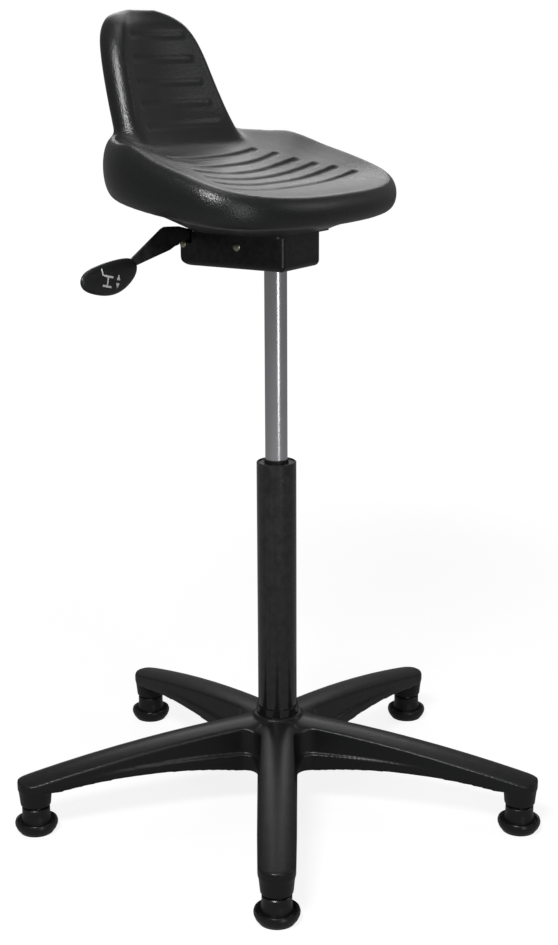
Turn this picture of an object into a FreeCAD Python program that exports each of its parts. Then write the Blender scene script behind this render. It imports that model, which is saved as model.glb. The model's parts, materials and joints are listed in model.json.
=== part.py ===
import FreeCAD, Part
import math
import os

# A perch stool: a moulded seat with a low back, on a pressed steel housing, a tall gas lift and a
# five-armed base on glides. Millimetres. The origin is on the floor, on the axis of the gas lift.
# +Z is up, the sitter faces -Y, and the sitter's right hand is at -X.

V = FreeCAD.Vector
Z_AXIS = V(0, 0, 1)
X_AXIS = V(1, 0, 0)

# Base
arm_count = 5
foot_circle_radius = 320.0
first_arm_angle = 212.2
crown_height_hub = 118.0
crown_height_middle = 103.1
crown_height_foot = 73.3
crown_middle_reach = 160.0
crown_foot_past = 5.0
crown_radius = 50.0
arm_half_width_hub = 20.5
arm_half_width_outer = 23.0
arm_widest_before_foot = 70.0
flange_half_width_hub = 26.0
flange_step_outer = 0.4
web_corner_radius = 22.0
flange_corner_radius = 18.0
flange_hub_reach = 60.0
flange_middle_reach = 150.0
flange_height_hub = 76.0
flange_height_middle = 77.5
flange_height_outer = 72.0
underside_hub = 53.0
underside_middle = 65.0
underside_foot = 57.0
arch_middle_reach = 175.0
arch_hub_margin = 8.0
arch_foot_margin = 5.0
boss_radius_top = 22.0
boss_radius_bottom = 19.0
boss_bottom = 36.0
boss_overlap = 8.0
arm_skin = 6.0
arm_wall = 4.5
pocket_start_reach = 76.0
pocket_bays = 3
rib_thickness = 4.0
hub_wall = 6.0
hub_rise = 1.5
hub_skirt_radius = 50.0
hub_skirt_height = 106.0
hub_skirt_slope = 20.0
hub_shoulder = 4.0

# Glides
sole_radius = 21.0
sole_core_radius = 20.0
sole_stand = 1.5
sole_thickness = 3.5
glide_disc_radius = 26.9
glide_disc_height = 15.5
glide_moat_depth = 5.0
glide_neck_radius = 17.5
glide_neck_foot_radius = 19.5
glide_gap = 2.5
stem_radius = 5.5
stem_cover = 11.3
stem_foot_wall = 5.0
stem_clearance = 0.25
collar_radius = 12.0
grip_ring_rise = 14.0
grip_ring_height = 4.0
grip_ring_bite = 0.9

# Gas lift
tube_radius = 25.0
tube_wall = 2.0
tube_top = 455.0
tube_bottom = 48.0
taper_tangent = 0.0206
ring_wall = 2.2
ring_height = 10.0
end_plate_thickness = 3.0
cylinder_radius = 14.0
cylinder_wall = 2.0
cylinder_bottom = 380.0
cylinder_crimp = 1.5
cylinder_lid = 4.0
cylinder_mouth_radius = 9.0
running_clearance = 0.05
bush_length = 80.0
bush_recess = 1.5
bush_lip_wall = 1.4
bush_lip_height = 5.0
rod_radius = 5.0
rod_stub_radius = 4.0
washer_radius = 13.0
washer_thickness = 1.5
ball_radius = 2.0
ball_circle_radius = 8.8
ball_count = 9
ball_clearance = 0.02
cage_half_height = 0.8
cage_half_width = 3.2
cage_clearance = 0.1
clip_thickness = 1.5
clip_radius = 8.0
clip_gap = 2.5
clip_washer_radius = 10.5
buffer_radius = 12.0
buffer_height = 18.0
piston_thickness = 12.0
seal_height = 4.0
seal_depth = 1.6
nut_height = 4.0
nut_radius = 7.5
travel_up = 24.0
travel_stop_gap = 0.5
gland_length = 18.0
release_pin_radius = 4.0
release_pin_length = 28.0
release_pin_clearance = 0.08
release_pin_stand = 4.0
pin_dome_radius = 12.0
pin_dome_height = 2.0
valve_chamber_depth = 6.0

# Housing under the seat
plate_height = 740.0
plate_thickness = 3.0
plate_rear = 82.0
plate_corner_radius = 10.0
plate_edge = 9.0
plate_front_margin = 4.5
housing_depth = 42.0
housing_half_width = 43.5
housing_front = -38.5
housing_rear = 113.5
steel_wall = 2.5
housing_corner_radius = 7.0
housing_rear_bend_radius = 18.0
socket_wall = 4.0
socket_length = 31.5
socket_half_angle = 1.35
screw_side_gap = 8.5
screw_front_edge = 11.0
screw_rear_edge = 14.0
screw_radius = 3.0
screw_head_radius = 6.0
screw_short_by = 1.5
screw_drive_radius = 2.0
screw_drive_depth = 2.2

# Lever: heights are below the seat plate's underside
pivot_y = 28.0
pivot_drop = 15.0
pivot_radius = 4.0
pivot_clearance = 0.05
pivot_head_radius = 5.2
pivot_head_height = 2.4
stop_inset = 7.0
stop_drop = 16.0
stop_radius = 3.0
stop_head_radius = 4.4
stop_head_height = 2.0
stop_clearance = 0.1
lever_stop_spacing = 8.5
lever_thickness = 3.0
lever_socket_gap = 3.0
lever_plate_gap = 1.5
lever_slot_gap = 3.2
lever_slot_rise = 2.0
pin_gap = 0.12
tab_half_width = 8.0
eye_wall = 5.5
paddle_thickness = 13.0
paddle_edge_radius = 5.0
paddle_neck_reach = 117.5
paddle_neck_drop = 31.0
paddle_neck_radius = 12.5
paddle_heel_reach = 142.5
paddle_heel_drop = 38.0
paddle_belly_reach = 159.5
paddle_belly_drop = 39.0
paddle_belly_radius = 19.3
paddle_tip_reach = 196.5
paddle_tip_drop = 37.0
paddle_tip_radius = 11.5

# Seat: heights are above the seat plate's underside
seat_half_width = 184.0
seat_middle_y = -13.0
seat_front_reach = 84.0
seat_rear_reach = 184.0
seat_front_roundness = 2.3
seat_rear_roundness = 2.62
rim_rise = 91.5
rim_slope = 0.3187
rim_droop = 0.00078
rim_side_drop = 9.8
rim_shoulder_rise = 7.0
rim_shoulder_y = 85.0
rim_shoulder_spread = 30.0
lip_bulge = 14.5
lip_bottom_rise = 27.5
lip_bottom_slope = 0.125
lip_tuck = 16.0
pan_rise = 61.0
pan_slope = 0.19
pan_curve = 0.0014
pan_middle = 20.0
pedestal_side_margin = 5.0
pedestal_front_margin = 4.0
foam_gap = 0.3
board_thickness = 10.0
board_inset = 4.0
board_corner_radius = 8.0
tee_nut_wall = 1.0
tee_nut_flange_radius = 9.0
tee_nut_flange_thickness = 1.2
tee_nut_recess = 1.0
screw_bore_clearance = 0.5
back_rise = 261.0
back_thickness = 37.0
back_dish = 12.0
strap_half_width = 34.0
strap_thickness = 3.0
strap_start = 22.0
strap_bend_past_plate = 6.0
strap_bend_radius = 14.0
strap_top_rise = 207.0
strap_top_past_rear = 19.0
rivet_radius = 2.5
rivet_head_step = 2.0
rivet_head_height = 1.6
rivet_side = 20.0
rivet_rows = (36.0, 62.0)
groove_width = 9.0
groove_depth = 1.6

# Edges that are only broken, and how far a cutting shape stands past what it cuts
edge_break = 0.8
cut_margin = 5.0

# Places that follow from the sizes
crown_foot_reach = foot_circle_radius + crown_foot_past
arm_widest_reach = foot_circle_radius - arm_widest_before_foot
hub_radius = tube_radius + hub_wall
hub_top = crown_height_hub + hub_rise
blank_half_width = hub_skirt_radius + cut_margin
blank_height = hub_top + cut_margin
stem_top = crown_height_foot - stem_cover
housing_bottom = plate_height - housing_depth
socket_top = housing_bottom + socket_length
screw_half_spacing = housing_half_width + screw_side_gap
plate_half_width = screw_half_spacing + plate_edge
plate_front = housing_front - plate_front_margin
screw_front = plate_front + screw_front_edge
screw_rear = plate_rear - screw_rear_edge
pivot_z = plate_height - pivot_drop
stop_y = housing_rear - stop_inset
stop_z = plate_height - stop_drop
lever_y = stop_y - lever_stop_spacing
lever_inner_x = -(cylinder_radius + socket_wall + lever_socket_gap + lever_thickness / 2)
pedestal_half_width = plate_half_width + pedestal_side_margin
pedestal_front = plate_front - pedestal_front_margin
pedestal_rear = plate_rear
seat_rear_y = seat_middle_y + seat_rear_reach
arm_step = 360.0 / arm_count
shapes = {}


def polar(radius, degrees, z=0.0):
    a = math.radians(degrees)
    return V(radius * math.cos(a), radius * math.sin(a), z)


def turned(points, centre=V(0, 0, 0)):
    """Solid of revolution about the vertical axis through centre, from (radius, height) points."""
    wire = Part.makePolygon([V(r, 0, z) for r, z in points] + [V(points[0][0], 0, points[0][1])])
    solid = Part.Face(wire).revolve(V(0, 0, 0), Z_AXIS, 360)
    solid.translate(centre)
    return solid


def ring(inner, outer, bottom, top):
    return turned([(inner, bottom), (outer, bottom), (outer, top), (inner, top)])


def disc(radius, bottom, top):
    return Part.makeCylinder(radius, top - bottom, V(0, 0, bottom))


def box(x0, x1, y0, y1, z0, z1):
    return Part.makeBox(x1 - x0, y1 - y0, z1 - z0, V(x0, y0, z0))


def plate(points, normal_axis, start, thickness):
    """Flat plate from an outline of (u, v) points, standing across X or Y."""
    if normal_axis == "x":
        corners = [V(start, u, v) for u, v in points]
        push = V(thickness, 0, 0)
    else:
        corners = [V(u, start, v) for u, v in points]
        push = V(0, thickness, 0)
    return Part.Face(Part.makePolygon(corners + [corners[0]])).extrude(push)


def cross_pin(radius, x0, x1, y, z):
    return Part.makeCylinder(radius, x1 - x0, V(x0, y, z), X_AXIS)


def upright_edges(shape):
    return [edge for edge in shape.Edges if edge.BoundBox.XLength < 0.01 and edge.BoundBox.YLength < 0.01]


def on_plate(shape):
    """Lifts a shape built with z = 0 on the seat plate's underside."""
    return shape.translated(V(0, 0, plate_height))


# Base: plan outlines
def side_line(width_hub, width_outer):
    """One side of an arm in plan: distance from the hub's centre line and its spread."""
    spread = math.atan2(width_outer - width_hub, arm_widest_reach)
    return width_hub * math.cos(spread), spread


def sector_outline(width_hub, width_outer, corner_radius):
    """Plan of one arm, from the middle of one web to the middle of the next, along +X."""
    distance, spread = side_line(width_hub, width_outer)
    half = math.radians(arm_step / 2)
    reach = (distance + corner_radius) / math.sin(half - spread)
    centre = V(reach * math.cos(half), reach * math.sin(half), 0)
    out = V(math.sin(spread), -math.cos(spread), 0)
    tangent = centre + out * corner_radius
    web = V(math.cos(half), math.sin(half), 0) * (reach - corner_radius)
    middle_way = out + V(-math.cos(half), -math.sin(half), 0)
    middle_way.normalize()
    middle = centre + middle_way * corner_radius
    shoulder = V(arm_widest_reach, width_outer, 0)
    nose_side = V(foot_circle_radius, boss_radius_top, 0)
    nose = V(foot_circle_radius + boss_radius_top, 0, 0)
    turn = math.radians(45)
    nose_mid = V(foot_circle_radius + boss_radius_top * math.cos(turn), boss_radius_top * math.sin(turn), 0)

    def flip(p):
        return V(p.x, -p.y, p.z)

    edges = [
        Part.LineSegment(V(0, 0, 0), web).toShape(),
        Part.Arc(web, middle, tangent).toShape(),
        Part.LineSegment(tangent, shoulder).toShape(),
        Part.LineSegment(shoulder, nose_side).toShape(),
        Part.Arc(nose_side, nose_mid, nose).toShape(),
        Part.Arc(nose, flip(nose_mid), flip(nose_side)).toShape(),
        Part.LineSegment(flip(nose_side), flip(shoulder)).toShape(),
        Part.LineSegment(flip(shoulder), flip(tangent)).toShape(),
        Part.Arc(flip(tangent), flip(middle), flip(web)).toShape(),
        Part.LineSegment(flip(web), V(0, 0, 0)).toShape(),
    ]
    return Part.Face(Part.Wire(edges))


def arc_centre(a, b, c):
    """Centre and radius, in the XZ plane, of the circle through three (reach, height) points."""
    circle = Part.Arc(V(a[0], 0, a[1]), V(b[0], 0, b[1]), V(c[0], 0, c[1])).toShape().Curve
    return circle.Center, circle.Radius


def bent_bar(a, b, c, section):
    """Bar whose section, given at reach zero, follows the arc through three (reach, height) points."""
    centre, radius = arc_centre(a, b, c)
    start = math.degrees(math.acos((0.0 - centre.x) / radius))
    face = section(centre.z + math.sqrt(radius ** 2 - centre.x ** 2))
    run_in = 1.0
    bar_end = foot_circle_radius + boss_radius_top + cut_margin
    end = math.degrees(math.acos((bar_end - centre.x) / radius))
    face.rotate(centre, V(0, 1, 0), -run_in)
    return face.revolve(centre, V(0, 1, 0), start - end + run_in)


def crown_section(top):
    """Domed section of an arm, across Y, with its highest point at the given height."""
    half = crown_radius - 4.0
    edge = top - crown_radius + math.sqrt(crown_radius ** 2 - half ** 2)
    low = top - blank_height
    dome = Part.Arc(V(0, -half, edge), V(0, 0, top), V(0, half, edge)).toShape()
    sides = Part.makePolygon([V(0, half, edge), V(0, half, low), V(0, -half, low), V(0, -half, edge)])
    return Part.Face(Part.Wire([dome] + sides.Edges))


def flat_section(half):
    def section(top):
        low = top - blank_height
        corners = [V(0, -half, top), V(0, half, top), V(0, half, low), V(0, -half, low)]
        return Part.Face(Part.makePolygon(corners + [corners[0]]))
    return section


crown_arc = (
    (0.0, crown_height_hub),
    (crown_middle_reach, crown_height_middle),
    (crown_foot_reach, crown_height_foot),
)
flange_arc = (
    (flange_hub_reach, flange_height_hub),
    (flange_middle_reach, flange_height_middle),
    (arm_widest_reach, flange_height_outer),
)


def arm_underside():
    """Everything below an arm's arched underside."""
    hub_flat = hub_skirt_radius + arch_hub_margin
    foot_reach = foot_circle_radius - boss_radius_top - arch_foot_margin
    near = -cut_margin
    far = foot_circle_radius + boss_radius_top + cut_margin
    arch = Part.Arc(
        V(hub_flat, 0, underside_hub), V(arch_middle_reach, 0, underside_middle), V(foot_reach, 0, underside_foot))
    rest = Part.makePolygon([
        V(foot_reach, 0, underside_foot), V(far, 0, underside_foot), V(far, 0, -cut_margin),
        V(near, 0, -cut_margin), V(near, 0, underside_hub), V(hub_flat, 0, underside_hub)])
    face = Part.Face(Part.Wire([arch.toShape()] + rest.Edges))
    face.translate(V(0, -blank_half_width, 0))
    return face.extrude(V(0, 2 * blank_half_width, 0))


def arm_pocket():
    """Hollow in the underside of an arm, between its cross ribs."""
    start = pocket_start_reach
    end = foot_circle_radius - boss_radius_top - arm_wall
    half = arm_half_width_hub - arm_wall
    lowered = tuple((reach, height - arm_skin) for reach, height in crown_arc)
    hollow = bent_bar(*lowered, flat_section(half)).common(box(start, end, -half, half, 0, blank_height))
    for i in range(1, pocket_bays):
        x = start + (end - start) * i / pocket_bays
        rib = box(x - rib_thickness / 2, x + rib_thickness / 2, -half, half, 0, blank_height)
        hollow = hollow.cut(rib)
    return hollow


def make_sector():
    """One fifth of the base: an arm along +X with half of the web on each side."""
    crown = bent_bar(*crown_arc, crown_section)
    ledge = bent_bar(*flange_arc, flat_section(blank_half_width))
    upper = sector_outline(arm_half_width_hub, arm_half_width_outer, web_corner_radius)
    flange_half_width_outer = arm_half_width_outer + flange_step_outer
    lower = sector_outline(flange_half_width_hub, flange_half_width_outer, flange_corner_radius)
    upper = upper.extrude(V(0, 0, blank_height)).common(crown)
    lower = lower.extrude(V(0, 0, blank_height)).common(ledge)
    sector = upper.fuse(lower).cut(arm_underside())
    boss_top = underside_foot + boss_overlap
    boss = turned(
        [(0, boss_bottom), (boss_radius_bottom, boss_bottom), (boss_radius_top, boss_top), (0, boss_top)],
        V(foot_circle_radius, 0, 0))
    return sector.fuse(boss).cut(arm_pocket())


def tube_radius_at(z):
    """Outer radius of the tube and of the hub's bore: straight above the hub, tapered in it."""
    return tube_radius - max(0.0, hub_top - z) * taper_tangent


def make_base():
    sector = make_sector()
    base = turned([
        (0, underside_hub), (hub_skirt_radius, underside_hub),
        (hub_skirt_radius, hub_skirt_height - hub_skirt_slope), (hub_radius + hub_shoulder, hub_skirt_height),
        (hub_radius, hub_top), (0, hub_top)])
    arms = []
    for i in range(arm_count):
        arm = sector.copy()
        arm.rotate(V(0, 0, 0), Z_AXIS, first_arm_angle + i * arm_step)
        arms.append(arm)
    base = base.fuse(arms)
    bore_start = underside_hub - cut_margin
    bore_end = hub_top + cut_margin
    bore = turned([
        (0, bore_start), (tube_radius_at(bore_start), bore_start), (tube_radius, hub_top), (tube_radius, bore_end),
        (0, bore_end)])
    base = base.cut(bore)
    for i in range(arm_count):
        socket = disc(stem_radius + stem_clearance, boss_bottom - cut_margin, stem_top + edge_break)
        socket.translate(polar(foot_circle_radius, first_arm_angle + i * arm_step))
        base = base.cut(socket)
    return base.removeSplitter()


shapes["star_base"] = make_base()
shapes["hub_ring"] = ring(tube_radius, tube_radius + ring_wall, hub_top, hub_top + ring_height)


# Glides: a steel stem with a grip ring, a moulded foot and a soft sole, five of each
neck_top = boss_bottom - glide_gap
stem_bottom = sole_thickness + stem_foot_wall
grip_bottom = boss_bottom + grip_ring_rise
grip_top = grip_bottom + grip_ring_height
groove_radius = stem_radius - grip_ring_bite

for i in range(arm_count):
    centre = polar(foot_circle_radius, first_arm_angle + i * arm_step)
    stem = turned([
        (0, stem_bottom), (stem_radius, stem_bottom), (stem_radius, neck_top), (collar_radius, neck_top),
        (collar_radius, boss_bottom), (stem_radius, boss_bottom), (stem_radius, grip_bottom),
        (groove_radius, grip_bottom), (groove_radius, grip_top), (stem_radius, grip_top),
        (stem_radius, stem_top - edge_break), (stem_radius - edge_break, stem_top), (0, stem_top)])
    grip = ring(groove_radius, stem_radius + stem_clearance, grip_bottom, grip_top)
    grip = grip.cut(box(0, 2 * stem_radius, -1, 1, grip_bottom, grip_top))
    moat = glide_disc_height - glide_moat_depth
    foot = turned([
        (0, sole_stand), (sole_radius + 1, sole_stand), (glide_disc_radius - 2.2, sole_stand + 3.5),
        (glide_disc_radius - 0.3, sole_stand + 8), (glide_disc_radius, glide_disc_height - 3),
        (glide_disc_radius - 0.9, glide_disc_height), (glide_disc_radius - 3.2, glide_disc_height - 1.2),
        (glide_neck_foot_radius + 1.8, moat), (glide_neck_foot_radius, moat + 2.5),
        (glide_neck_radius, neck_top - 9), (glide_neck_radius, neck_top - 1), (glide_neck_radius - 1, neck_top),
        (0, neck_top)])
    foot = foot.cut(disc(sole_core_radius, 0, sole_thickness))
    foot = foot.cut(disc(stem_radius, stem_bottom, neck_top + cut_margin))
    sole = disc(sole_radius, 0, sole_stand).fuse(disc(sole_core_radius, 0, sole_thickness)).removeSplitter()
    for name, shape in (("glide_stem", stem), ("glide_grip_ring", grip), ("glide_foot", foot), ("glide_sole", sole)):
        shape.translate(centre)
        shapes[f"{name}_{i + 1}"] = shape


# Gas lift, fixed in the base
tube_bore = tube_radius - tube_wall
lower_bore = tube_radius_at(tube_bottom) - tube_wall
shapes["outer_tube"] = turned([
    (lower_bore, tube_bottom), (tube_radius_at(tube_bottom), tube_bottom), (tube_radius, hub_top),
    (tube_radius, tube_top - edge_break), (tube_radius - edge_break, tube_top), (tube_bore, tube_top),
    (tube_bore, hub_top + 20), (lower_bore, hub_top)])
end_plate_top = tube_bottom + end_plate_thickness
shapes["tube_end_plate"] = ring(rod_stub_radius + 0.1, lower_bore, tube_bottom, end_plate_top)

bush_top = tube_top - bush_recess
bush_bore = cylinder_radius + running_clearance
lip_top = bush_top + bush_lip_height
shapes["guide_bush"] = turned([
    (bush_bore, bush_top - bush_length), (tube_bore, bush_top - bush_length), (tube_bore, bush_top),
    (bush_bore + bush_lip_wall, bush_top), (bush_bore + bush_lip_wall, lip_top - edge_break),
    (bush_bore + bush_lip_wall - edge_break, lip_top), (bush_bore, lip_top)])

lower_washer_top = end_plate_top + washer_thickness
ball_centre = lower_washer_top + ball_radius + ball_clearance
upper_washer_bottom = ball_centre + ball_radius + ball_clearance
upper_washer_top = upper_washer_bottom + washer_thickness
washer_bore = rod_stub_radius + 0.15
shapes["thrust_washer_lower"] = ring(washer_bore, washer_radius, end_plate_top, lower_washer_top)
shapes["thrust_washer_upper"] = ring(rod_stub_radius, washer_radius, upper_washer_bottom, upper_washer_top)
cage = ring(
    ball_circle_radius - cage_half_width, ball_circle_radius + cage_half_width,
    ball_centre - cage_half_height, ball_centre + cage_half_height)
balls = []
for i in range(ball_count):
    place = polar(ball_circle_radius, i * 360.0 / ball_count, ball_centre)
    balls.append(Part.makeSphere(ball_radius, place))
    cage = cage.cut(Part.makeSphere(ball_radius + cage_clearance, place))
shapes["thrust_balls"] = Part.makeCompound(balls)
shapes["ball_cage"] = cage


# Gas lift, spindle that turns with the seat but stays at its height
clip_top = tube_bottom - 1.0
clip_bottom = clip_top - clip_thickness
stub_bottom = clip_bottom - 3.0
cylinder_bore = cylinder_radius - cylinder_wall
gland_bottom = cylinder_bottom + cylinder_crimp
gland_top = gland_bottom + gland_length
piston_bottom = gland_top + travel_up + travel_stop_gap
piston_top = piston_bottom + piston_thickness
clip_groove = rod_stub_radius - 0.7
shapes["piston_rod"] = turned([
    (0, stub_bottom), (rod_stub_radius, stub_bottom), (rod_stub_radius, clip_bottom), (clip_groove, clip_bottom),
    (clip_groove, clip_top), (rod_stub_radius, clip_top), (rod_stub_radius, upper_washer_top),
    (rod_radius, upper_washer_top), (rod_radius, piston_bottom), (rod_stub_radius, piston_bottom),
    (rod_stub_radius, piston_top + nut_height), (0, piston_top + nut_height)])
clip = ring(clip_groove, clip_radius, clip_bottom, clip_top)
clip_mouth = box(0, clip_radius + cut_margin, -clip_gap, clip_gap, clip_bottom, clip_top)
shapes["retaining_clip"] = clip.cut(clip_mouth)
shapes["clip_washer"] = ring(rod_stub_radius, clip_washer_radius, clip_top, tube_bottom - running_clearance)
shapes["rubber_buffer"] = turned([
    (rod_radius, upper_washer_top), (buffer_radius, upper_washer_top),
    (buffer_radius, upper_washer_top + buffer_height - 6), (buffer_radius - 2.5, upper_washer_top + buffer_height),
    (rod_radius, upper_washer_top + buffer_height)])
seal_bottom = piston_bottom + (piston_thickness - seal_height) / 2
seal_top = seal_bottom + seal_height
seal_bore = cylinder_bore - seal_depth
piston = ring(rod_stub_radius, cylinder_bore - running_clearance, piston_bottom, piston_top)
shapes["piston"] = piston.cut(ring(seal_bore, cylinder_bore + cut_margin, seal_bottom, seal_top))
shapes["piston_seal"] = ring(seal_bore, cylinder_bore - running_clearance, seal_bottom, seal_top)
hexagon = Part.makePolygon([polar(nut_radius, 60 * k, piston_top) for k in range(7)])
nut = Part.Face(hexagon).extrude(V(0, 0, nut_height))
shapes["piston_nut"] = nut.cut(disc(rod_stub_radius, piston_top, piston_top + nut_height))


# Gas lift, cylinder that slides with the seat
socket_tangent = math.tan(math.radians(socket_half_angle))
cylinder_top = socket_top + 0.5
cone_top_radius = cylinder_radius - (cylinder_top - housing_bottom) * socket_tangent
upper_bore = cone_top_radius - cylinder_wall
valve_bottom = housing_bottom - 4.0
lid_bottom = cylinder_top - cylinder_lid
pin_bore = release_pin_radius + release_pin_clearance
shapes["gas_cylinder"] = turned([
    (cylinder_mouth_radius, cylinder_bottom), (cylinder_radius - edge_break, cylinder_bottom),
    (cylinder_radius, cylinder_bottom + edge_break), (cylinder_radius, housing_bottom),
    (cone_top_radius, cylinder_top), (pin_bore, cylinder_top), (pin_bore, lid_bottom), (upper_bore, lid_bottom),
    (upper_bore, valve_bottom), (cylinder_bore, valve_bottom), (cylinder_bore, gland_bottom),
    (cylinder_mouth_radius, gland_bottom)])
gland_bore = rod_radius + running_clearance
shapes["rod_gland"] = turned([
    (gland_bore, gland_bottom), (cylinder_bore, gland_bottom), (cylinder_bore, gland_top),
    (gland_bore + 2, gland_top), (gland_bore, gland_top - 2)])
pin_bottom = cylinder_top - release_pin_length
valve_chamber = pin_bottom - valve_chamber_depth
shapes["valve_body"] = turned([
    (0, valve_bottom), (upper_bore, valve_bottom), (upper_bore, lid_bottom), (pin_bore, lid_bottom),
    (pin_bore, valve_chamber), (0, valve_chamber)])
pin_top = cylinder_top + release_pin_stand
pin_dome = Part.makeSphere(pin_dome_radius, V(0, 0, pin_top - pin_dome_radius))
pin_shank = disc(2 * release_pin_radius, pin_bottom, pin_top - pin_dome_height)
shapes["release_pin"] = disc(release_pin_radius, pin_bottom, pin_top).common(pin_dome.fuse(pin_shank))


# Housing under the seat
def pan_block(inset):
    """Rounded block of the housing, drawn in by a wall thickness."""
    x = housing_half_width - inset
    block = box(-x, x, housing_front + inset, housing_rear - inset, housing_bottom + inset, plate_height + inset)
    block = block.makeFillet(housing_corner_radius - inset, upright_edges(block))
    rear_bend = housing_rear_bend_radius - inset
    low = housing_bottom + inset
    edges = [e for e in block.Edges if abs(e.BoundBox.ZMax - low) < 0.01 and abs(e.BoundBox.ZMin - low) < 0.01]
    block = block.makeFillet(housing_corner_radius - inset, edges)
    past = x + cut_margin
    bend_y = housing_rear - inset - rear_bend
    bend_z = low + rear_bend
    bend = box(-past, past, bend_y, housing_rear + cut_margin, low - cut_margin, bend_z)
    return block.cut(bend.cut(cross_pin(rear_bend, -past, past, bend_y, bend_z)))


side_out = housing_half_width + cut_margin
side_in = housing_half_width - steel_wall - cut_margin
slot_half = lever_thickness / 2 + lever_slot_gap
slot_floor = stop_z + lever_slot_rise
housing = pan_block(0).cut(pan_block(steel_wall))
housing = housing.cut(disc(cylinder_radius + socket_wall, housing_bottom - cut_margin, plate_height))
housing = housing.cut(box(
    -side_out, -side_in, lever_y - slot_half, lever_y + slot_half, slot_floor, plate_height + cut_margin))
housing = housing.cut(cross_pin(pivot_radius, -side_out, side_out, pivot_y, pivot_z))
housing = housing.cut(cross_pin(stop_radius, -side_out, side_out, stop_y, stop_z))
shapes["mechanism_housing"] = housing

shapes["taper_socket"] = turned([
    (cylinder_radius, housing_bottom), (cylinder_radius + socket_wall, housing_bottom),
    (cylinder_radius + socket_wall, socket_top - 1), (cylinder_radius + socket_wall - 1, socket_top),
    (cylinder_radius - (socket_top - housing_bottom) * socket_tangent, socket_top)])


def riveted_pin(radius, head_radius, head_height, y, z):
    """Cross pin through both side walls, with a domed head on each."""
    x = housing_half_width
    pin = cross_pin(radius, -x, x, y, z)
    dome_radius = (head_radius ** 2 + head_height ** 2) / (2 * head_height)
    for side in (-1, 1):
        dome = Part.makeSphere(dome_radius, V(side * (x + head_height - dome_radius), y, z))
        near, far = sorted((side * x, side * (x + head_height + cut_margin)))
        keep = box(near, far, y - dome_radius, y + dome_radius, z - dome_radius, z + dome_radius)
        pin = pin.fuse(dome.common(keep))
    return pin.removeSplitter()


shapes["lever_pivot_pin"] = riveted_pin(pivot_radius, pivot_head_radius, pivot_head_height, pivot_y, pivot_z)
shapes["lever_stop_pin"] = riveted_pin(stop_radius, stop_head_radius, stop_head_height, stop_y, stop_z)

screw_places = [(sx * screw_half_spacing, y) for sx in (-1, 1) for y in (screw_front, screw_rear)]


def at_screws(shape):
    """A copy of a level shape at each seat screw, as one compound."""
    return Part.makeCompound([shape.translated(V(x, y, 0)) for x, y in screw_places])


seat_plate = box(-plate_half_width, plate_half_width, plate_front, plate_rear, 0, plate_thickness)
seat_plate = seat_plate.makeFillet(plate_corner_radius, upright_edges(seat_plate))
screw_cone = turned([(0, 0), (screw_head_radius, 0), (screw_radius, plate_thickness), (0, plate_thickness)])
seat_plate = seat_plate.cut(at_screws(screw_cone))
shapes["seat_plate"] = on_plate(seat_plate)

screw_end = plate_thickness + board_thickness - screw_short_by
drive_outline = Part.makePolygon([polar(screw_drive_radius, 60 * k) for k in range(7)])
drive = Part.Face(drive_outline).extrude(V(0, 0, screw_drive_depth))
screw = screw_cone.fuse(disc(screw_radius, plate_thickness, screw_end)).cut(drive).removeSplitter()
shapes["seat_screws"] = on_plate(at_screws(screw))

board_bottom = plate_thickness
board_top = board_bottom + board_thickness
tee_nut_top = board_top + tee_nut_flange_thickness
tee_nut_barrel = ring(screw_radius, screw_radius + tee_nut_wall, board_bottom + tee_nut_recess, board_top)
tee_nut_flange = ring(screw_radius, tee_nut_flange_radius, board_top, tee_nut_top)
tee_nuts = at_screws(tee_nut_barrel.fuse(tee_nut_flange))
shapes["tee_nuts"] = on_plate(tee_nuts)


# Lever: an outer arm out of the housing's side, bent to an inner arm that presses the release pin
def beside(reach, rise):
    """Point (x, z) at a reach out of the housing's left side and a height over the seat plate's underside."""
    return -(housing_half_width + reach), plate_height + rise


lever_front = lever_y - lever_thickness / 2
lever_back = lever_y + lever_thickness / 2
lever_top = plate_height - lever_plate_gap
inner_x = lever_inner_x - lever_thickness / 2
upper_edge = ((-0.5, 3.0), (20.5, 8.0), (48.5, 10.0), (55.5, 8.0), (113.5, -20.5), (140.5, -28.0))
lower_edge = (
    (140.5, -36.0), (104.5, -29.0), (60.5, -21.7), (40.5, -18.5), (29.5, -14.8), (23.5, -14.2), (13.5, -10.0),
    (-3.5, -10.0))
outer_outline = [(inner_x, lever_top)]
outer_outline += [beside(reach, rise) for reach, rise in upper_edge + lower_edge]
outer_outline += [(inner_x, lever_top - 11.2)]
outer_arm = plate(outer_outline, "y", lever_front, lever_thickness)

tab_bottom = pin_top + pin_gap
tab_top = tab_bottom + lever_thickness
eye = pivot_radius + eye_wall
nose_end = stop_y + 2.0
nose_bottom = stop_z + stop_radius + stop_clearance
riser = lever_front - 5.0
inner_outline = [
    (-tab_half_width, tab_bottom), (-tab_half_width, tab_top), (tab_half_width + 4.0, tab_top),
    (pivot_y + 32.0, lever_top - 3.0), (riser - 3.0, lever_top - 5.5), (riser, lever_top), (lever_back, lever_top),
    (nose_end, lever_top - 4.5), (nose_end, nose_bottom), (lever_front, nose_bottom),
    (pivot_y + eye, pivot_z - 5.0), (pivot_y + 3.0, pivot_z - eye), (pivot_y - 3.0, pivot_z - eye),
    (pivot_y - eye, pivot_z - 3.0), (pivot_y - eye, pivot_z + 6.0)]
inner_arm = plate(inner_outline, "x", inner_x, lever_thickness)
tab = box(inner_x, tab_half_width, -tab_half_width, tab_half_width, tab_bottom, tab_top)
lever = outer_arm.fuse([inner_arm, tab])
lever = lever.cut(cross_pin(pivot_radius + pivot_clearance, inner_x - cut_margin, 0, pivot_y, pivot_z))
shapes["lever"] = lever.removeSplitter()


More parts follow.
